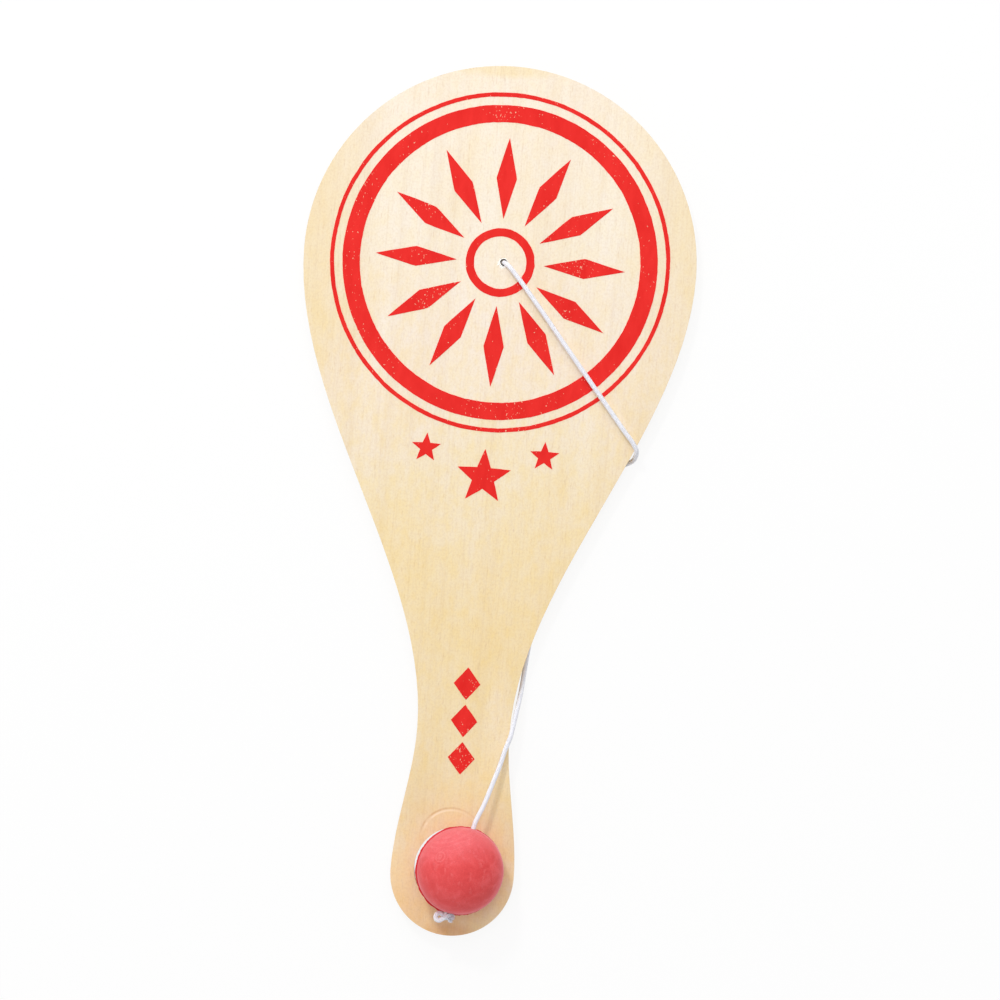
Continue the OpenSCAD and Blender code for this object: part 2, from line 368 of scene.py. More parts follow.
bladeKnotSettings = {
    "place": (1.1, 76.7, 0.95),  # millimetres, the middle of the knot
    "size": 0.58,  # of a trefoil three units in radius
    "lift": 0.62,
    "flatten": 0.72,
    "turn": 40.0,
    "opening": (0.35, 5.95),  # where the trefoil starts and stops, in radians
    "steps": 90,
    "radius": 0.66 * mm,
    "sides": 14,
    "height": 1.9 * mm,  # from the surface up to the paddle's back
    # the tail, in millimetres from the middle of the knot
    "tailFrom": 1.2,
    "tailTo": 9.5,
    "tailTurn": 152.0,
    "tailBow": 0.5,
    "tailDrop": 0.24,
    "tailSteps": 30,
    "threads": {
        "threads": 9,
        "spread": 0.5 * mm,
        "long": 1.1 * mm,
        "core": 0.45 * mm,
        "sway": 0.08 * mm,
        "thick": 0.12 * mm,
    },
    "seed": 3,
}
looseThread = {
    "steps": 6,
    "sides": 5,
    "uneven": 0.6,  # of the angle between two threads
    "leastReach": 0.35,
    "leastLength": 0.6,
    "taper": 0.5,
    "curl": 1.5,
}


def trefoil(size, lift, start, stop, count):
    line = []
    for part in range(count + 1):
        turn = start + (stop - start) * part / count
        line.append(
            Vector(
                (
                    size * (math.sin(turn) + 2 * math.sin(2 * turn)),
                    size * (math.cos(turn) - 2 * math.cos(2 * turn)),
                    -lift * math.sin(3 * turn),
                )
            )
        )
    return line


def atLeast(least, dice):
    # a share between the least one and the whole
    return least + (1 - least) * dice.random()


def fray(bm, wrap, end, way, settings, seed):
    # loose threads at a cut end
    loose = looseThread
    dice = random.Random(seed)
    way = way.normalized()
    side = way.orthogonal().normalized()
    up = way.cross(side)
    for index in range(settings["threads"]):
        turn = math.tau * (index + dice.random() * loose["uneven"]) / settings["threads"]
        reach = settings["spread"] * atLeast(loose["leastReach"], dice)
        long = settings["long"] * atLeast(loose["leastLength"], dice)
        out = side * math.cos(turn) + up * math.sin(turn)
        start = end + out * settings["core"] * dice.random()
        line = []
        radii = []
        for part in range(loose["steps"] + 1):
            t = part / loose["steps"]
            sway = side * math.sin(t * 5 + turn * 3) + up * math.cos(t * 4 + turn * 2)
            bent = out * reach * t ** loose["curl"]
            line.append(start + way * long * t + bent + sway * settings["sway"] * t)
            radii.append(settings["thick"] * (1 - loose["taper"] * t))
        sweepTube(bm, line, radii, loose["sides"], wrap)


def makeBladeKnot(s, material):
    bm = bmesh.new()
    wrap = bm.loops.layers.uv.new("wrap")
    middle = Vector(s["place"])
    squashed = Matrix.Diagonal((1, 1, s["flatten"])).to_4x4()
    turned = Matrix.Rotation(math.radians(s["turn"]), 4, "Z")
    loop = trefoil(s["size"], s["lift"], *s["opening"], s["steps"])
    loop = [(squashed @ turned @ point + middle) * mm for point in loop]
    sweepTube(bm, loop, s["radius"], s["sides"], wrap)
    turn = math.radians(s["tailTurn"])
    way = Vector((math.cos(turn), math.sin(turn), 0))
    side = Vector((-way.y, way.x, 0))
    tail = []
    for part in range(s["tailSteps"] + 1):
        t = part / s["tailSteps"]
        out = s["tailFrom"] + (s["tailTo"] - s["tailFrom"]) * t
        bow = s["tailBow"] * math.sin(math.pi * t)
        tail.append((middle + way * out + side * bow - Vector((0, 0, s["tailDrop"] * t))) * mm)
    sweepTube(bm, tail, s["radius"], s["sides"], wrap)
    last = tail[-1] - tail[-2]
    fray(bm, wrap, tail[-1] - last * 0.5, last, s["threads"], s["seed"])
    low = min(vert.co.z for vert in bm.verts)
    high = max(vert.co.z for vert in bm.verts)
    bmesh.ops.translate(bm, vec=(0, 0, -low), verts=bm.verts)
    bmesh.ops.scale(bm, vec=(1, 1, min(1.0, s["height"] / (high - low))), verts=bm.verts)
    knot = addPiece("bladeKnot", bm, [material])
    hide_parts("blade_knot")
    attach(knot, "paddle")
    return knot


# knot behind the ball: a slip knot with its bow to one side and the cut ends to the other

ballKnotSettings = {
    "radius": 0.74 * mm,
    "sides": 16,
    "bowStep": 0.15 * mm,
    "bow": [
        (0.1, 0.0, -14.2), (-0.15, 0.2, -14.8), (-0.75, 0.35, -15.0), (-1.5, 0.25, -14.75),
        (-2.35, 0.0, -14.8), (-2.95, -0.3, -15.4), (-3.0, -0.45, -16.25), (-2.45, -0.5, -16.95),
        (-1.6, -0.45, -16.95), (-0.95, -0.3, -16.35), (-0.45, -0.1, -15.8), (0.3, 0.05, -15.5),
        (1.2, 0.15, -15.35),
    ],  # millimetres across, down and along the bore, from the ball's middle
    "wrapAt": (0.15, 0.0, -15.2),
    "wrapRadius": 0.95,
    "wrapSquash": 0.85,
    "wrapSlant": 0.5,
    "wrapSway": 0.25,
    "wrapTurns": 1.25,
    "wrapSteps": 48,
    "wrapSides": 14,
    "wrapThin": 0.95,  # of the cord's radius
    "wrapTilt": 20.0,
    "ends": [
        ((0.7, -0.55, -14.95), (1.0, -0.5, 0.12), 11),
        ((0.9, 0.15, -15.35), (1.0, 0.0, -0.12), 17),
        ((0.6, -0.9, -15.3), (0.7, -0.8, -0.2), 23),
        ((1.0, -1.0, -14.6), (0.5, -1.0, 0.45), 31),
        ((0.3, -1.2, -14.7), (0.9, -0.6, 0.3), 37),
    ],
    "threads": {
        "threads": 22,
        "spread": 0.9 * mm,
        "long": 2.1 * mm,
        "core": 0.55 * mm,
        "sway": 0.2 * mm,
        "thick": 0.18 * mm,
    },
}


def makeBallKnot(s, material):
    along = Vector(cordSettings["boreWay"]).normalized()
    across = Vector((along.y, -along.x, 0)).normalized()
    down = along.cross(across)
    turned = Matrix((across, down, along)).transposed().to_4x4()
    place = Matrix.Translation(Vector(cordSettings["ballMiddle"])) @ turned
    bm = bmesh.new()
    wrap = bm.loops.layers.uv.new("wrap")
    bow = smoothRoute([Vector(point) * mm for point in s["bow"]], s["bowStep"])
    sweepTube(bm, bow, s["radius"], s["sides"], wrap)
    ringLine = []
    for part in range(s["wrapSteps"] + 1):
        turn = math.tau * part / s["wrapSteps"] * s["wrapTurns"]
        ringLine.append(
            Vector(
                (
                    s["wrapSlant"] * (part / s["wrapSteps"] - 0.5) + s["wrapSway"] * math.sin(turn),
                    s["wrapRadius"] * math.cos(turn),
                    s["wrapRadius"] * s["wrapSquash"] * math.sin(turn),
                )
            )
        )
    tilt = Matrix.Rotation(math.radians(s["wrapTilt"]), 4, "Y")
    ringLine = [(tilt @ point + Vector(s["wrapAt"])) * mm for point in ringLine]
    sweepTube(bm, ringLine, s["radius"] * s["wrapThin"], s["wrapSides"], wrap)
    for end, way, seed in s["ends"]:
        fray(bm, wrap, Vector(end) * mm, Vector(way), s["threads"], seed)
    bmesh.ops.transform(bm, matrix=place, verts=bm.verts)
    bmesh.ops.recalc_face_normals(bm, faces=bm.faces)
    knot = addPiece("ballKnot", bm, [material])
    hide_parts("ball_knot")
    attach(knot, "tether")
    return knot


bladeKnot = makeBladeKnot(bladeKnotSettings, braid)
ballKnot = makeBallKnot(ballKnotSettings, braid)
print("knots tied")

# paddle: three plies of basswood, sanded round at the rim

pliesSettings = {
    "front_ply": {
        "name": "frontVeneer", "slot": "face_veneer", "rim": "high", "rimRound": 0.35 * mm,
        "markDeep": 0.05 * mm,
    },
    "core_ply": {"name": "coreVeneer", "slot": "core_veneer", "rim": None},
    "back_ply": {"name": "backVeneer", "slot": "face_veneer", "rim": "low", "rimRound": 0.35 * mm},
}
glueLine = 0.07 * mm  # the fine groove between two plies
ballHole = {
    "middle": (0.8 * mm, -117.9 * mm),
    "radius": 13.3 * mm,
    "uneven": 0.32 * mm,  # the rim stands in a little on one side
    "unevenSide": 136.0,  # degrees from +X
    "unevenWidth": 78.0,
    "easing": 0.7,
    "within": 0.05 * mm,
}
plyFinish = {
    "mergeWithin": 0.002 * mm,
    "flatWithin": 0.5,  # degrees
    "markBetween": (0.1 * mm, 0.4 * mm),  # where the solid's tool mark lies under the face
    "levelWithin": 0.01 * mm,
    "cornerOver": 1.0,  # radians
    "rimSteps": 3,
    "sawnUnder": 0.75,  # steeper faces show the plies' edges
    "sharpOver": 50,
}

faceWood = {
    # tones from the end of the handle to the top of the blade, partly the wood's own and partly painted
    # light: paler towards the blade's top, the side the lamps stand on
    "tones": [
        (0.0, tone(248, 214, 170)), (0.04, tone(250, 226, 186)), (0.08, tone(247, 229, 194)),
        (0.14, tone(243, 223, 184)), (0.28, tone(248, 229, 193)),
        (0.4, tone(248, 227, 185)), (0.5, tone(249, 234, 208)), (0.64, tone(251, 238, 224)),
        (0.82, tone(251, 240, 223)), (0.97, tone(251, 239, 222)),
    ],
    "halfLength": 0.14,
    "drift": (13, 7, 13),
    "driftBy": 0.08,
    "patch": tone(244, 217, 170),
    "patches": (34, 13, 34),
    "patchShare": 0.3,
    "sides": tone(243, 220, 172),  # the blade is yellower out at its sides
    "sidesBetween": (36 * mm, 62 * mm),
    "sidesShare": 0.55,
    # place, half width, half height in millimetres, tone, share
    "tonePatchesAndPaintedShade": [
        (-3.0, 138.5, 17.0, 2.9, tone(246, 224, 172), 0.5),
        # a paler patch on the right of the neck
        (10.4, -64.7, 5.5, 17.0, tone(251, 234, 210), 0.6),
        # painted shade: the darker brown at the end of the handle, below the ball, stands in for the ball's
        # shadow
        (1.4, -138.5, 9.0, 3.6, tone(226, 168, 116), 0.55),
    ],
    "yellow": (1.0, 0.96, 0.8, 1.0),
    "blotches": (95, 62, 95),
    "blotchShare": 0.4,
    "mottle": (420, 240, 420),
    "mottleShare": 0.9,
    "calm": (0.62, 0.84, 0.45),  # the top of the blade is plainer: from, to, share
    "dark": tone(196, 150, 102),
    "bands": (170, 3.2, 170),
    "bandShare": 0.08,
    "fibres": (1500, 26, 1500),
    "fibreShare": 0.13,
    "flecks": (2300, 330, 2300),
    "fleckShare": 0.2,
    "sanding": (1500, 1350, 1500),
    "sandShare": 0.13,
    "grainDepth": 0.03 * mm,
    "stampAt": (1.2 * mm, 109.0 * mm, 0.0),
    "stampRadius": 10.2 * mm,
    "stampWidth": 0.45 * mm,
    "stampGate": (300, 300, 300),
    "stampFade": (-5 * mm, 6 * mm, 0.15),  # weaker towards the right: from, to, share
    "stampRise": (1 * mm, 6 * mm),
    "frontOver": 5 * mm,  # only the printed face carries the mark
    # painted shade and painted highlight on the mark's rim: offset in widths, share, tone
    "stampShadeAndHighlight": [(0.0, 0.5, tone(212, 168, 118)), (-1.7, 0.9, tone(254, 236, 206))],
}
edgeWood = dict(
    faceWood,
    tones=[(0.0, tone(234, 198, 154)), (0.5, tone(240, 214, 172)), (1.0, tone(246, 230, 200))],
)
coreWood = dict(
    faceWood,
    tones=[(0.0, tone(205, 160, 112)), (0.5, tone(214, 176, 128)), (1.0, tone(220, 190, 146))],
    fibres=(26, 1500, 1500),
    bands=(3.2, 170, 170),
    flecks=(330, 2300, 2300),
)


def makeWood(name, s):
    material, tree, shader = startMaterial(name, {"Specular IOR Level": 0.2})
    place = addNode(tree, "TexCoord").outputs["Object"]
    split = addNode(tree, "SeparateXYZ", {"Vector": place})
    along = stretch(tree, split.outputs["Y"], -s["halfLength"], s["halfLength"], 0.0, 1.0)
    drift = stretch(tree, fibre(tree, place, s["drift"], 2), 0.3, 0.7, -s["driftBy"], s["driftBy"])
    colour = ramp(tree, figure(tree, "ADD", along, drift), s["tones"])
    aside = figure(tree, "ABSOLUTE", split.outputs["X"])
    aside = figure(tree, "ADD", aside, figure(tree, "MULTIPLY", drift, 0.06))
    colour = layer(tree, stretch(tree, aside, *s["sidesBetween"], 0.0, s["sidesShare"]), colour, s["sides"])
    patches = fibre(tree, place, s["patches"], 3, 0.6)
    colour = layer(tree, stretch(tree, patches, 0.5, 0.72, 0.0, s["patchShare"]), colour, s["patch"])
    # patches of the wood's tone, and one painted shade below the ball
    for x, y, wide, high, overlayTone, share in s["tonePatchesAndPaintedShade"]:
        size = (1 / (wide * mm), 1 / (high * mm), 0)
        shift = (-x / wide, -y / high, 0)
        there = addNode(tree, "Mapping", {"Vector": place}, {"Scale": size, "Location": shift})
        there = there.outputs["Vector"]
        reach = addNode(tree, "VectorMath", {"Vector": there}, operation="LENGTH").outputs["Value"]
        reach = figure(tree, "ADD", reach, figure(tree, "MULTIPLY", drift, 3.0))
        colour = layer(tree, stretch(tree, reach, 0.5, 1.15, share, 0.0), colour, overlayTone)

    calmFrom, calmTo, calmShare = s["calm"]
    calm = stretch(tree, along, calmFrom, calmTo, 1.0, calmShare)
    blotches = fibre(tree, place, s["blotches"], 2, 0.5, 0.5)
    blotches = stretch(tree, blotches, 0.42, 0.68, 0.0, s["blotchShare"])
    colour = layer(tree, figure(tree, "MULTIPLY", blotches, calm), colour, s["yellow"], "MULTIPLY")
    mottle = fibre(tree, place, s["mottle"], 3, 0.6)
    mottle = stretch(tree, mottle, 0.38, 0.68, 0.0, s["mottleShare"])
    colour = layer(tree, figure(tree, "MULTIPLY", mottle, calm), colour, s["yellow"], "MULTIPLY")

    # the grain, from slow bands to the marks of sanding
    bands = fibre(tree, place, s["bands"], 2)
    fibres = fibre(tree, place, s["fibres"], 3, 0.6)
    flecks = fibre(tree, place, s["flecks"], 1)
    sanding = fibre(tree, place, s["sanding"], 2, 0.65)
    for grain, low, high, share in (
        (bands, 0.48, 0.75, s["bandShare"]),
        (fibres, 0.5, 0.8, s["fibreShare"]),
        (flecks, 0.62, 0.8, s["fleckShare"]),
        (sanding, 0.42, 0.7, s["sandShare"]),
    ):
        colour = layer(tree, stretch(tree, grain, low, high, 0.0, share), colour, s["dark"])

    # the round mark of the tool: painted shade as a dark line on its rim and a painted highlight just
    # inside it, drawn on the mark's upper side only and weaker towards the right
    mark = addNode(tree, "Mapping", {"Vector": place}, {"Location": s["stampAt"], "Scale": (1, 1, 0)})
    mark = mark.outputs["Vector"]
    reach = addNode(tree, "VectorMath", {"Vector": mark}, operation="LENGTH").outputs["Value"]
    bearing = addNode(tree, "SeparateXYZ", {"Vector": mark})
    gate = fibre(tree, place, s["stampGate"], 2)
    fadeFrom, fadeTo, fadeShare = s["stampFade"]
    towardsLeft = stretch(tree, bearing.outputs["X"], fadeFrom, fadeTo, 1.0, fadeShare)
    upward = stretch(tree, bearing.outputs["Y"], *s["stampRise"], 0.0, 1.0)
    front = figure(tree, "GREATER_THAN", split.outputs["Z"], s["frontOver"])
    where = figure(tree, "MULTIPLY", figure(tree, "MULTIPLY", towardsLeft, upward), front)
    where = figure(tree, "MULTIPLY", where, stretch(tree, gate, 0.35, 0.5, 0.3, 1.0))
    width = s["stampWidth"]
    for offset, share, overlayTone in s["stampShadeAndHighlight"]:
        fromArc = figure(tree, "SUBTRACT", reach, s["stampRadius"] + offset * width)
        fromArc = figure(tree, "ABSOLUTE", fromArc)
        band = stretch(tree, fromArc, 0.2 * width, width, share, 0.0)
        colour = layer(tree, figure(tree, "MULTIPLY", band, where), colour, overlayTone)
    tree.links.new(colour, shader.inputs["Base Color"])
    tree.links.new(stretch(tree, fibres, 0.3, 0.7, 0.62, 0.8), shader.inputs["Roughness"])
    height = figure(tree, "ADD", fibres, figure(tree, "MULTIPLY", flecks, 0.5))
    relief(tree, shader, height, s["grainDepth"])
    return material


def unroundHole(bm, s):
    middle = Vector(s["middle"])
    for vert in bm.verts:
        out = vert.co.xy - middle
        if abs(out.length - s["radius"]) > s["within"]:
            continue
        turn = math.degrees(math.atan2(out.y, out.x)) - s["unevenSide"]
        turn = (turn + 180) % 360 - 180
        if abs(turn) < s["unevenWidth"]:
            near = 0.5 + 0.5 * math.cos(math.pi * turn / s["unevenWidth"])
            vert.co.xy -= out.normalized() * (s["uneven"] * near ** s["easing"])


def makePly(node, s, finish, glue, materials):
    bm = bmesh.new()
    bm.from_mesh(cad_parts[node].data)
    bmesh.ops.remove_doubles(bm, verts=bm.verts, dist=finish["mergeWithin"])
    flat = math.radians(finish["flatWithin"])
    bmesh.ops.dissolve_limit(bm, angle_limit=flat, verts=bm.verts, edges=bm.edges)
    unroundHole(bm, ballHole)
    top = max(vert.co.z for vert in bm.verts)
    bottom = min(vert.co.z for vert in bm.verts)

    # the solid's tool mark is made shallower, as the sanding left it
    if "markDeep" in s:
        least, most = finish["markBetween"]
        for vert in bm.verts:
            if least < top - vert.co.z < most:
                vert.co.z = top - s["markDeep"]

    def rim(height):
        return [
            edge
            for edge in bm.edges
            if all(abs(vert.co.z - height) < finish["levelWithin"] for vert in edge.verts)
            and edge.calc_face_angle(0) > finish["cornerOver"]
        ]

    rounded = {"high": rim(top), "low": rim(bottom)}
    for side, edges in rounded.items():
        width = s["rimRound"] if side == s["rim"] else glue
        steps = finish["rimSteps"] if side == s["rim"] else 1
        bmesh.ops.bevel(
            bm, geom=edges, offset=width, offset_type="OFFSET", segments=steps,
            profile=0.5, affect="EDGES", material=-1, clamp_overlap=True,
        )
    for face in bm.faces:
        face.material_index = 1 if abs(face.normal.z) < finish["sawnUnder"] else 0
    ply = addPiece(s["name"], bm, materials, finish["sharpOver"])
    shading = ply.modifiers.new("evenShading", "WEIGHTED_NORMAL")
    shading.keep_sharp = True
    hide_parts(node)
    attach(ply, "paddle")


faceVeneer = makeWood("basswoodFace", faceWood)
edgeVeneer = makeWood("basswoodEdge", edgeWood)
coreVeneer = makeWood("crossPly", coreWood)
for node, settings in pliesSettings.items():
    skins = [coreVeneer, coreVeneer] if node == "core_ply" else [faceVeneer, edgeVeneer]
    makePly(node, settings, plyFinish, glueLine, skins)
print("plies sanded")

# pale splinters round the hole that the cord comes out of

tornRimSettings = {
    "place": (1.1 * mm, 76.7 * mm, 5.9 * mm),
    "holeRadius": 1.3 * mm,
    "chips": 60,
    "tornSide": 228.0,  # the longest stand here, in degrees from +X
    "long": 1.5 * mm,
    "inward": 0.42 * mm,
    "thick": 0.2 * mm,
    "flat": 0.45,
    "steps": 4,
    "sides": 6,
    "leastTorn": 0.25,
    "tornFall": 1.3,
    "leastLong": 0.4,
    "seed": 29,
}
splinterWood = dict(
    faceWood,
    tones=[(0.0, tone(253, 250, 243)), (0.5, tone(254, 252, 247)), (1.0, tone(254, 253, 250))],
    patch=tone(253, 248, 238),
    sides=tone(253, 248, 238),
    yellow=(1.0, 0.995, 0.97, 1.0),
    dark=tone(236, 216, 184),
)


def makeTornRim(s, material):
    dice = random.Random(s["seed"])
    bm = bmesh.new()
    for index in range(s["chips"]):
        share = 2 * (index + dice.random()) / s["chips"] - 1
        turn = math.radians(s["tornSide"]) + math.pi * share
        torn = max(s["leastTorn"], 1 - s["tornFall"] * abs(share))
        out = Vector((math.cos(turn), math.sin(turn), 0))
        side = Vector((-out.y, out.x, 0))
        long = s["long"] * atLeast(s["leastLong"], dice) * torn
        start = s["holeRadius"] - s["inward"] * torn * dice.random()
        lean = side * (dice.random() - 0.5) * 0.5 * long
        line = []
        radii = []
        for part in range(s["steps"] + 1):
            t = part / s["steps"]
            line.append(Vector(s["place"]) + out * (start + long * t) + lean * t)
            radii.append(s["thick"] * (0.7 + 0.5 * dice.random()) * (1 - 0.75 * t * t))
        sweepTube(bm, line, radii, s["sides"])
    flatten = Matrix.Diagonal((1, 1, s["flat"])).to_4x4()
    ground = Matrix.Translation((0, 0, s["place"][2]))
    bmesh.ops.transform(bm, matrix=ground @ flatten @ ground.inverted(), verts=bm.verts)
    chips = addPiece("tornRim", bm, [material])
    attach(chips, "paddle")


makeTornRim(tornRimSettings, makeWood("splinters", splinterWood))
print("rim torn")

# print: one red ink, its edges a little unsteady, broken by the grain

inkSettings = {
    "reds": [(0.3, tone(229, 36, 32)), (0.7, tone(240, 47, 42))],
    "body": (260, 90, 260),
    "thin": tone(222, 36, 36),  # where the ink lies thin over the fibres
    "fibres": (1500, 60, 1500),
    "thinShare": 0.25,
    "bare": tone(243, 214, 180),
    "pinholes": (2400, 1300, 2400),
    "wear": (60, 40, 60),
    "bareShare": 0.8,
    "depth": 0.02 * mm,
    "mergeWithin": 0.002 * mm,
    "cornerOver": 1.0,  # radians
    "longest": 0.45 * mm,
    "rounds": 8,
    "wobble": 0.11 * mm,
    "wobbleSize": 1.3 * mm,
    "slowWobble": 5,  # times the size
    "wobbleSeed": 5,  # without one, the clock sets where the vector noise is read
    "sharpOver": 30,
}


def makeInk(name, s):
    material, tree, shader = startMaterial(name, {"Specular IOR Level": 0.12, "Roughness": 0.6})
    place = addNode(tree, "TexCoord").outputs["Object"]
    colour = ramp(tree, fibre(tree, place, s["body"], 3, 0.6), s["reds"])
    fibres = fibre(tree, place, s["fibres"], 3, 0.6)
    colour = layer(tree, stretch(tree, fibres, 0.55, 0.8, 0.0, s["thinShare"]), colour, s["thin"])
    pinholes = fibre(tree, place, s["pinholes"], 1)
    wear = fibre(tree, place, s["wear"], 2)
    gate = figure(tree, "ADD", pinholes, stretch(tree, wear, 0.4, 0.7, -0.06, 0.05))
    colour = layer(tree, stretch(tree, gate, 0.72, 0.76, 0.0, s["bareShare"]), colour, s["bare"])
    tree.links.new(colour, shader.inputs["Base Color"])
    relief(tree, shader, fibres, s["depth"])
    return material


def makePrint(node, name, s, material):
    bm = bmesh.new()
    bm.from_mesh(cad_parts[node].data)
    bmesh.ops.remove_doubles(bm, verts=bm.verts, dist=s["mergeWithin"])
    for turn in range(s["rounds"]):
        rough = [
            edge
            for edge in bm.edges
            if edge.calc_length() > s["longest"] and edge.calc_face_angle(0) > s["cornerOver"]
        ]
        if not rough:
            break
        bmesh.ops.subdivide_edges(bm, edges=rough, cuts=1)
    bmesh.ops.triangulate(bm, faces=[face for face in bm.faces if len(face.verts) > 4])
    noise.seed_set(s["wobbleSeed"])
    for vert in bm.verts:
        flat = Vector((vert.co.x, vert.co.y, 0.0))
        fine = noise.noise_vector(flat / s["wobbleSize"])
        slow = noise.noise_vector(flat / (s["slowWobble"] * s["wobbleSize"]))
        shift = (fine + slow) * s["wobble"]
        vert.co.x += shift.x
        vert.co.y += shift.y
    piece = addPiece(name, bm, [material], s["sharpOver"])
    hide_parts(node)
    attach(piece, "paddle")


redInk = makeInk("redInk", inkSettings)
makePrint("blade_print", "bladePrint", inkSettings, redInk)
makePrint("handle_print", "handlePrint", inkSettings, redInk)
print("print laid")

# ball: matt rubber with the flash of its mould seam and a bore for the cord

ballSettings = {
    "middle": cordSettings["ballMiddle"],
    "radius": 13.88 * mm,
    "around": 180,
    "rings": 80,
    "seamTilt": (1.5, 9.5),  # degrees from lying flat, the left side raised
    "seamLoops": (0.12 * mm, 0.28 * mm, 0.55 * mm),
    "flash": 0.56 * mm,
    "flashSide": 200.0,  # the side where the flash is left longest
    "flashKept": (0.85, 0.7, 0.12),  # of its height: all round, by side, at least
    "flashLumps": (9, 34),
    "bore": 0.81 * mm,
    "mouth": 1.2 * mm,
    "rodSides": 32,
    "sharpOver": 50,
    # the rubber: tones, patterns in cycles per metre, shares
    "reds": [(0.3, tone(225, 68, 69)), (0.52, tone(232, 78, 79)), (0.72, tone(240, 93, 96))],
    "cloud": (230, 230, 230),
    "bloom": (620, 420, 620),
    "bloomTone": tone(246, 140, 144),
    "bloomShare": 0.3,
    "scuff": (1500, 260, 900),
    "scuffTone": tone(205, 58, 64),
    "scuffShare": 0.25,
    # painted sheen, on the side of the ball towards the lamps
    "paintedSheenSide": (-0.2, 0.97, 0.05),
    "paintedSheenTone": tone(250, 150, 161),
    "paintedSheenShare": 0.38,
    "ringsAxis": (-0.3, 0.93, 0.2),  # turning marks from the mould
    "ringsFrom": (8.0 * mm, 11.0 * mm),
    "ringsPitch": 1.0 * mm,
    "ringsTone": tone(250, 150, 155),
    "ringsShare": 0.12,
    "wander": (160, 160, 160),
    "wanderBy": 0.4 * mm,
    "stampSide": (-0.47, 0.38, 0.8),  # small rings where the mould's pin stood
    "stampReach": 3.2 * mm,
    "stampPitch": 1.15 * mm,
    "stampTone": tone(252, 160, 160),
    "stampShare": 0.2,
    "seamTone": tone(206, 24, 34),
    "grit": (2600, 2600, 2600),
    "gritTone": tone(180, 44, 50),
    "gritShare": 0.16,
    "skinDepth": 0.06 * mm,
}


def makeRubber(name, s):
    material, tree, shader = startMaterial(
        name,
        {
            "Roughness": 0.66,
            "Specular IOR Level": 0.35,
            "Sheen Weight": 0.55,
            "Sheen Roughness": 0.32,
            "Sheen Tint": tone(222, 208, 224),
        },
    )
    place = addNode(tree, "TexCoord").outputs["Object"]
    cloud = fibre(tree, place, s["cloud"], 4, 0.6, 0.6)
    colour = ramp(tree, cloud, s["reds"])
    bloom = fibre(tree, place, s["bloom"], 3, 0.65, 0.4)
    colour = layer(tree, stretch(tree, bloom, 0.56, 0.76, 0.0, s["bloomShare"]), colour, s["bloomTone"])
    scuff = fibre(tree, place, s["scuff"], 2)
    colour = layer(tree, stretch(tree, scuff, 0.66, 0.78, 0.0, s["scuffShare"]), colour, s["scuffTone"])
    fromMiddle = addNode(tree, "VectorMath", {0: place}, {1: s["middle"]}, operation="SUBTRACT")
    fromMiddle = fromMiddle.outputs["Vector"]

    def heightAlong(axis):
        axis = Vector(axis).normalized()
        made = addNode(tree, "VectorMath", {0: fromMiddle}, {1: axis}, operation="DOT_PRODUCT")
        return made.outputs["Value"]

    # painted sheen: paler pink on the side of the ball towards the lamps, patchy with the bloom
    paintedSheen = heightAlong(s["paintedSheenSide"])
    paintedSheen = stretch(tree, paintedSheen, 0.28 * s["radius"], 0.98 * s["radius"], 0.0, s["paintedSheenShare"])
    paintedSheen = figure(tree, "MULTIPLY", paintedSheen, stretch(tree, bloom, 0.3, 0.7, 0.8, 1.2))
    colour = layer(tree, paintedSheen, colour, s["paintedSheenTone"])
    # faint rings round one end, where the mould was turned
    onAxis = heightAlong(s["ringsAxis"])
    wander = fibre(tree, place, s["wander"], 2)
    wander = stretch(tree, wander, 0.3, 0.7, -s["wanderBy"], s["wanderBy"])
    turned = figure(tree, "MULTIPLY", figure(tree, "ADD", onAxis, wander), math.tau / s["ringsPitch"])
    turned = figure(tree, "SINE", turned)
    near = stretch(tree, onAxis, *s["ringsFrom"], 0.0, 1.0)
    turned = figure(tree, "MULTIPLY", turned, near)
    colour = layer(tree, stretch(tree, turned, 0.2, 1.0, 0.0, s["ringsShare"]), colour, s["ringsTone"])
    # small rings where the mould's pin stood
    pin = Vector(s["stampSide"]).normalized() * s["radius"]
    fromPin = addNode(tree, "VectorMath", {0: fromMiddle}, {1: pin}, operation="DISTANCE")
    fromPin = fromPin.outputs["Value"]
    small = figure(tree, "ADD", fromPin, figure(tree, "MULTIPLY", wander, 0.8))
    small = figure(tree, "SINE", figure(tree, "MULTIPLY", small, math.tau / s["stampPitch"]))
    near = stretch(tree, fromPin, 0.5 * s["stampReach"], s["stampReach"], 1.0, 0.0)
    small = figure(tree, "MULTIPLY", small, near)
    colour = layer(tree, stretch(tree, small, 0.1, 1.0, 0.0, s["stampShare"]), colour, s["stampTone"])
    # fresher rubber on the flash, and grit all over
    seam = addNode(tree, "Attribute", attribute_name="flash").outputs["Fac"]
    colour = layer(tree, seam, colour, s["seamTone"])
    grit = fibre(tree, place, s["grit"], 2)
    colour = layer(tree, stretch(tree, grit, 0.45, 0.7, 0.0, s["gritShare"]), colour, s["gritTone"])
    tree.links.new(colour, shader.inputs["Base Color"])
    height = figure(tree, "ADD", figure(tree, "MULTIPLY", cloud, 2.0), figure(tree, "MULTIPLY", grit, 0.5))
    marks = figure(tree, "MULTIPLY", figure(tree, "ADD", turned, small), 0.35)
    relief(tree, shader, figure(tree, "ADD", height, marks), s["skinDepth"])
    return material


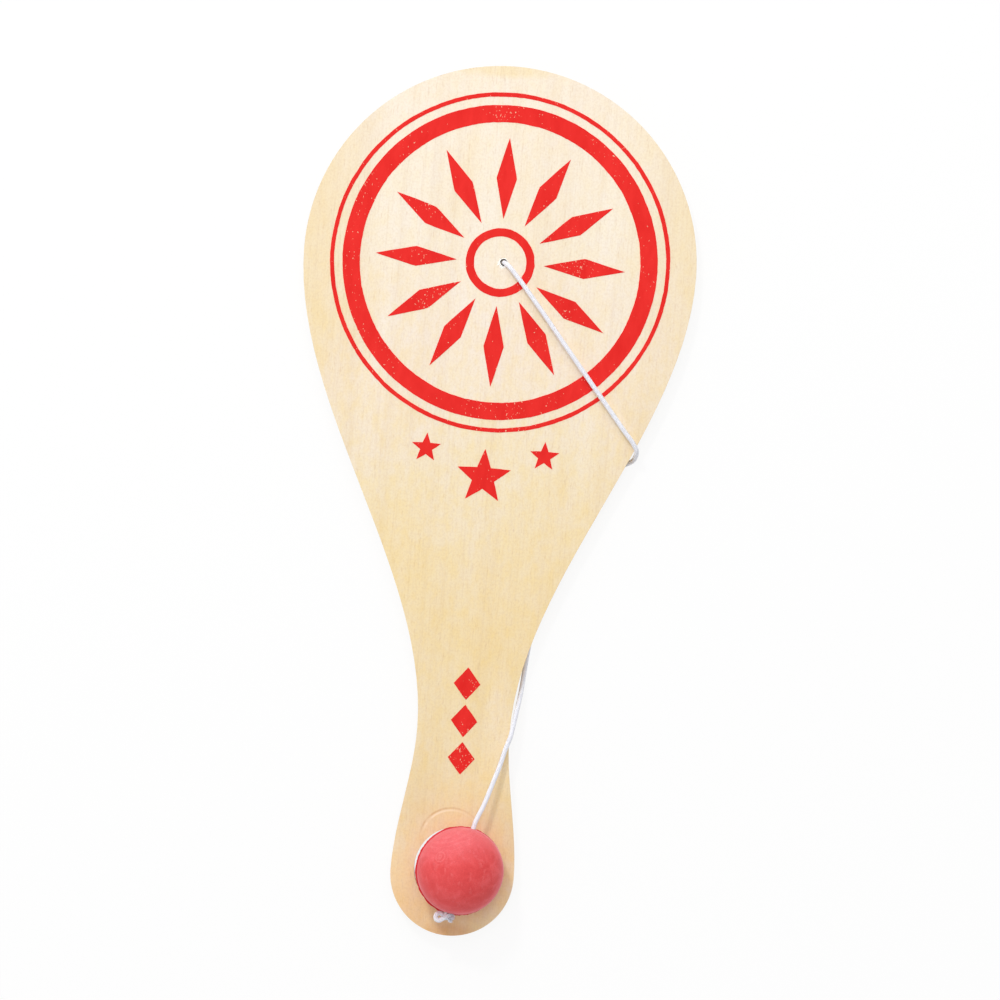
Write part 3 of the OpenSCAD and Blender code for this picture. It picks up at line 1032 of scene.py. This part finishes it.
def makeBall(s, material):
    bm = bmesh.new()
    bmesh.ops.create_uvsphere(bm, u_segments=s["around"], v_segments=s["rings"], radius=s["radius"])
    for loop in s["seamLoops"]:
        for height in (-loop, loop):
            everything = bm.verts[:] + bm.edges[:] + bm.faces[:]
            bmesh.ops.bisect_plane(bm, geom=everything, plane_co=(0, 0, height), plane_no=(0, 0, 1))
    allRound, bySide, least = s["flashKept"]
    lumps, fineLumps = s["flashLumps"]
    for vert in bm.verts:
        vert.co = vert.co.normalized() * s["radius"]
        height = abs(vert.co.z)
        if height < s["seamLoops"][0] * 1.5:
            turn = math.atan2(vert.co.y, vert.co.x)
            lump = noise.noise(Vector((math.cos(turn), math.sin(turn), 0.3)) * lumps)
            fine = noise.noise(Vector((math.cos(turn), math.sin(turn), 4.1)) * fineLumps)
            kept = allRound + bySide * math.cos(turn - math.radians(s["flashSide"]))
            kept = min(1.0, max(least, kept))
            rise = s["flash"] * kept * max(0.3, 0.85 + 0.4 * lump + 0.3 * fine)
            vert.co += Vector((vert.co.x, vert.co.y, 0)).normalized() * rise
    aroundX, aroundY = (math.radians(angle) for angle in s["seamTilt"])
    tilt = Matrix.Rotation(aroundX, 4, "X") @ Matrix.Rotation(aroundY, 4, "Y")
    bmesh.ops.transform(bm, matrix=Matrix.Translation(Vector(s["middle"])) @ tilt, verts=bm.verts)
    ball = addPiece("rubberBall", bm, [material], s["sharpOver"])

    # the bore is cut with a rod that flares at both ends
    flare = {0.94: s["bore"], 0.97: s["bore"] * 1.2, 1.0: s["mouth"], 1.2: s["mouth"] * 1.5}
    stations = [-station for station in reversed(flare)] + list(flare)
    rod = bmesh.new()
    line = [onBore(cordSettings, station * s["radius"]) for station in stations]
    sweepTube(rod, line, [flare[abs(station)] for station in stations], s["rodSides"])
    rodMesh = bpy.data.meshes.new("boreRod")
    rod.to_mesh(rodMesh)
    rod.free()
    rodObject = bpy.data.objects.new("boreRod", rodMesh)
    scene.collection.objects.link(rodObject)
    cut = ball.modifiers.new("bore", "BOOLEAN")
    cut.operation = "DIFFERENCE"
    cut.object = rodObject
    cut.solver = "EXACT"
    bpy.context.view_layer.update()
    ready = ball.evaluated_get(bpy.context.evaluated_depsgraph_get())
    bored = bpy.data.meshes.new_from_object(ready)
    ball.modifiers.remove(cut)
    ball.data = bored
    bpy.data.objects.remove(rodObject)
    bored.name = "rubberBall"
    bored.shade_smooth()
    bored.set_sharp_from_angle(angle=math.radians(s["sharpOver"]))

    # marks the flash for the material, whose rubber is fresher there
    flash = bored.attributes.new("flash", "FLOAT", "POINT")
    back = tilt.inverted() @ Matrix.Translation(-Vector(s["middle"]))
    for index, vert in enumerate(bored.vertices):
        height = abs((back @ vert.co).z)
        flash.data[index].value = min(1.0, max(0.0, 1.6 - height / s["seamLoops"][1]))
    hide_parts("ball")
    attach(ball, "ball")


makeBall(ballSettings, makeRubber("redRubber", ballSettings))
print("ball bored")

# floor, lamps and surroundings

studio = {
    "floorSize": 6.0,
    "glow": 0.88,  # share of the floor that stays white in shadow
    "floorWhite": (0.98, 0.98, 0.98, 1.0),
    "fill": 0.505,
    "aim": (0.0, -0.01, 0.006),
    # side in degrees right of the picture's top, height above the floor, distance, size, watts
    "lamps": {
        "keyLeft": (-22.0, 47.0, 1.3, 0.14, 4.35),
        "keyRight": (20.0, 50.0, 1.3, 0.18, 1.05),
        "overhead": (-8.0, 70.0, 1.5, 0.9, 4.1),
        "backWall": (-6.0, 20.0, 1.2, 0.9, 2.6),
        "leftWall": (-122.0, 25.0, 1.2, 0.9, 1.5),
    },
}


def seenDirectly(tree):
    # the camera sees plain white, also in gloss and through glass
    seen = addNode(tree, "LightPath")
    direct = figure(tree, "MAXIMUM", seen.outputs["Is Camera Ray"], seen.outputs["Is Glossy Ray"])
    return figure(tree, "MAXIMUM", direct, seen.outputs["Is Transmission Ray"])


def makeFloor(s):
    bm = bmesh.new()
    bmesh.ops.create_grid(bm, x_segments=8, y_segments=8, size=s["floorSize"] / 2)
    mesh = bpy.data.meshes.new("floor")
    bm.to_mesh(mesh)
    bm.free()
    floor = bpy.data.objects.new("floor", mesh)
    scene.collection.objects.link(floor)
    material = bpy.data.materials.new("paleFloor")
    material.use_nodes = True
    tree = material.node_tree
    tree.nodes.clear()
    matt = addNode(tree, "BsdfDiffuse", values={"Color": s["floorWhite"]})
    glow = addNode(tree, "Emission", values={"Strength": 1.0})
    share = figure(tree, "MULTIPLY", seenDirectly(tree), s["glow"])
    mixed = addNode(tree, "MixShader", {"Fac": share})
    tree.links.new(matt.outputs[0], mixed.inputs[1])
    tree.links.new(glow.outputs[0], mixed.inputs[2])
    output = tree.nodes.new("ShaderNodeOutputMaterial")
    tree.links.new(mixed.outputs[0], output.inputs["Surface"])
    mesh.materials.append(material)


def lightStudio(s, roll):
    turn = math.radians(roll)
    right = Vector((math.cos(turn), math.sin(turn), 0))
    up = Vector((-math.sin(turn), math.cos(turn), 0))
    for name, (side, height, distance, size, watts) in s["lamps"].items():
        data = bpy.data.lights.new(name, "AREA")
        data.shape = "SQUARE"
        data.size = size
        data.energy = watts
        lamp = bpy.data.objects.new(name, data)
        scene.collection.objects.link(lamp)
        level = right * math.sin(math.radians(side)) + up * math.cos(math.radians(side))
        way = level * math.cos(math.radians(height)) + Vector((0, 0, math.sin(math.radians(height))))
        lamp.location = Vector(s["aim"]) + way * distance
        lamp.rotation_mode = "QUATERNION"
        lamp.rotation_quaternion = way.to_track_quat("Z", "Y")
    world = bpy.data.worlds.new("softFill")
    scene.world = world
    world.use_nodes = True
    tree = world.node_tree
    tree.nodes.clear()
    strength = stretch(tree, seenDirectly(tree), 0.0, 1.0, s["fill"], 1.0)
    background = addNode(tree, "Background", {"Strength": strength}, {"Color": (1, 1, 1, 1)})
    output = tree.nodes.new("ShaderNodeOutputWorld")
    tree.links.new(background.outputs[0], output.inputs["Surface"])


makeFloor(studio)
lightStudio(studio, cameraSettings["roll"])
print("studio lit")
